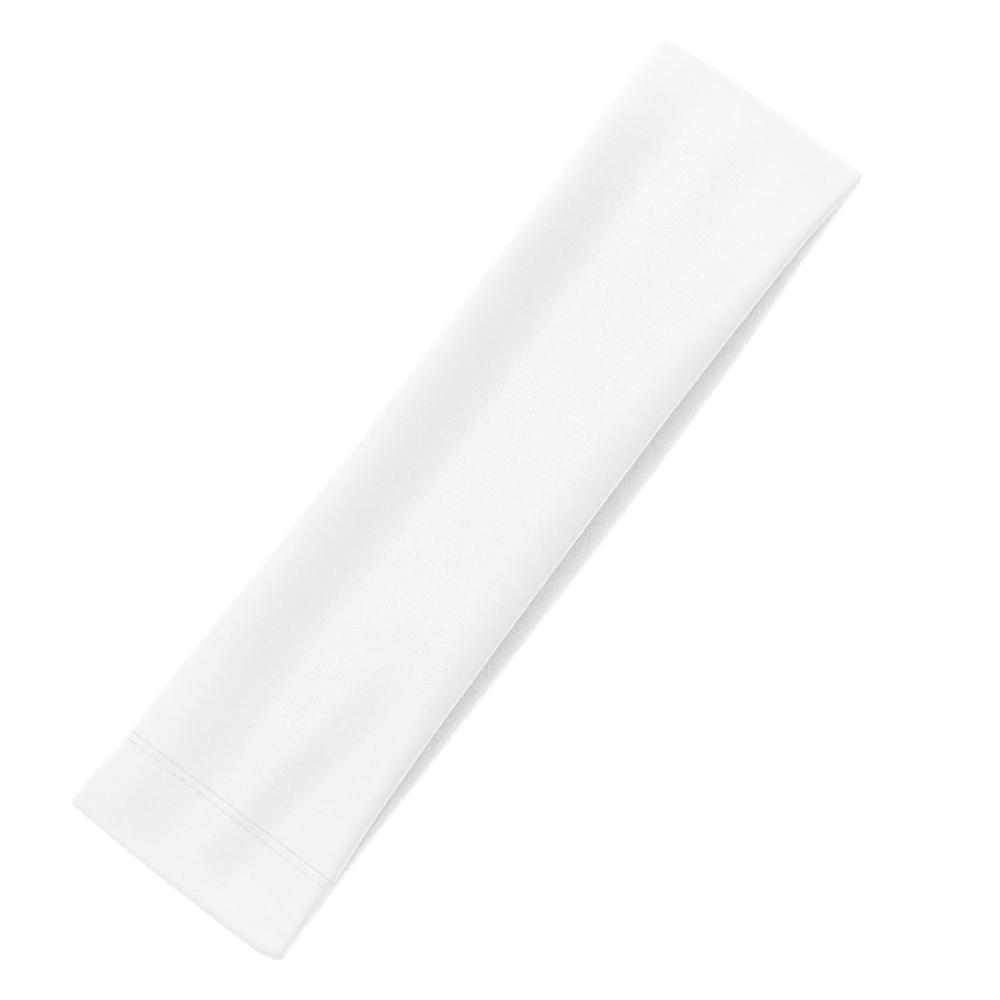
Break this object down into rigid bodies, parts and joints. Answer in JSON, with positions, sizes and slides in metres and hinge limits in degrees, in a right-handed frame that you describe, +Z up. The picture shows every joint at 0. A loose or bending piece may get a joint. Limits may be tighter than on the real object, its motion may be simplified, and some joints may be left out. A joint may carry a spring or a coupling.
{
  "type": "sports headband",
  "caption": "Wide stretch headband: a loop of smooth knit with a coarser lining, turned long edges and a topstitched cross seam, lying flat.",
  "frame": {"origin": "centre of the footprint of the band as it lies flat, on the surface it lies on", "axes": "+X along the band, from the fold near the cross seam to the plain fold; +Y across its width; +Z up from the surface"},
  "size_m": [0.2392, 0.0658, 0.0135],
  "materials": {
    "face_knit": "smooth white interlock knit, matt with a soft sheen",
    "lining_knit": "white moisture-wicking lining knit, a little coarser, matt",
    "edge_thread": "white textured polyester overlock thread",
    "seam_thread": "white spun polyester sewing thread, slight sheen"
  },
  "bodies": {
    "root": {"outer_panel": "face_knit", "inner_panel": "lining_knit", "far_seam_needle_thread": "edge_thread", "far_seam_upper_looper_thread": "edge_thread", "far_seam_lower_looper_thread": "edge_thread", "near_seam_needle_thread": "edge_thread", "near_seam_upper_looper_thread": "edge_thread", "near_seam_lower_looper_thread": "edge_thread", "cross_seam_joining_thread": "seam_thread", "cross_seam_topstitch_thread": "seam_thread", "cross_seam_bobbin_thread": "seam_thread"}
  },
  "joints": []
}
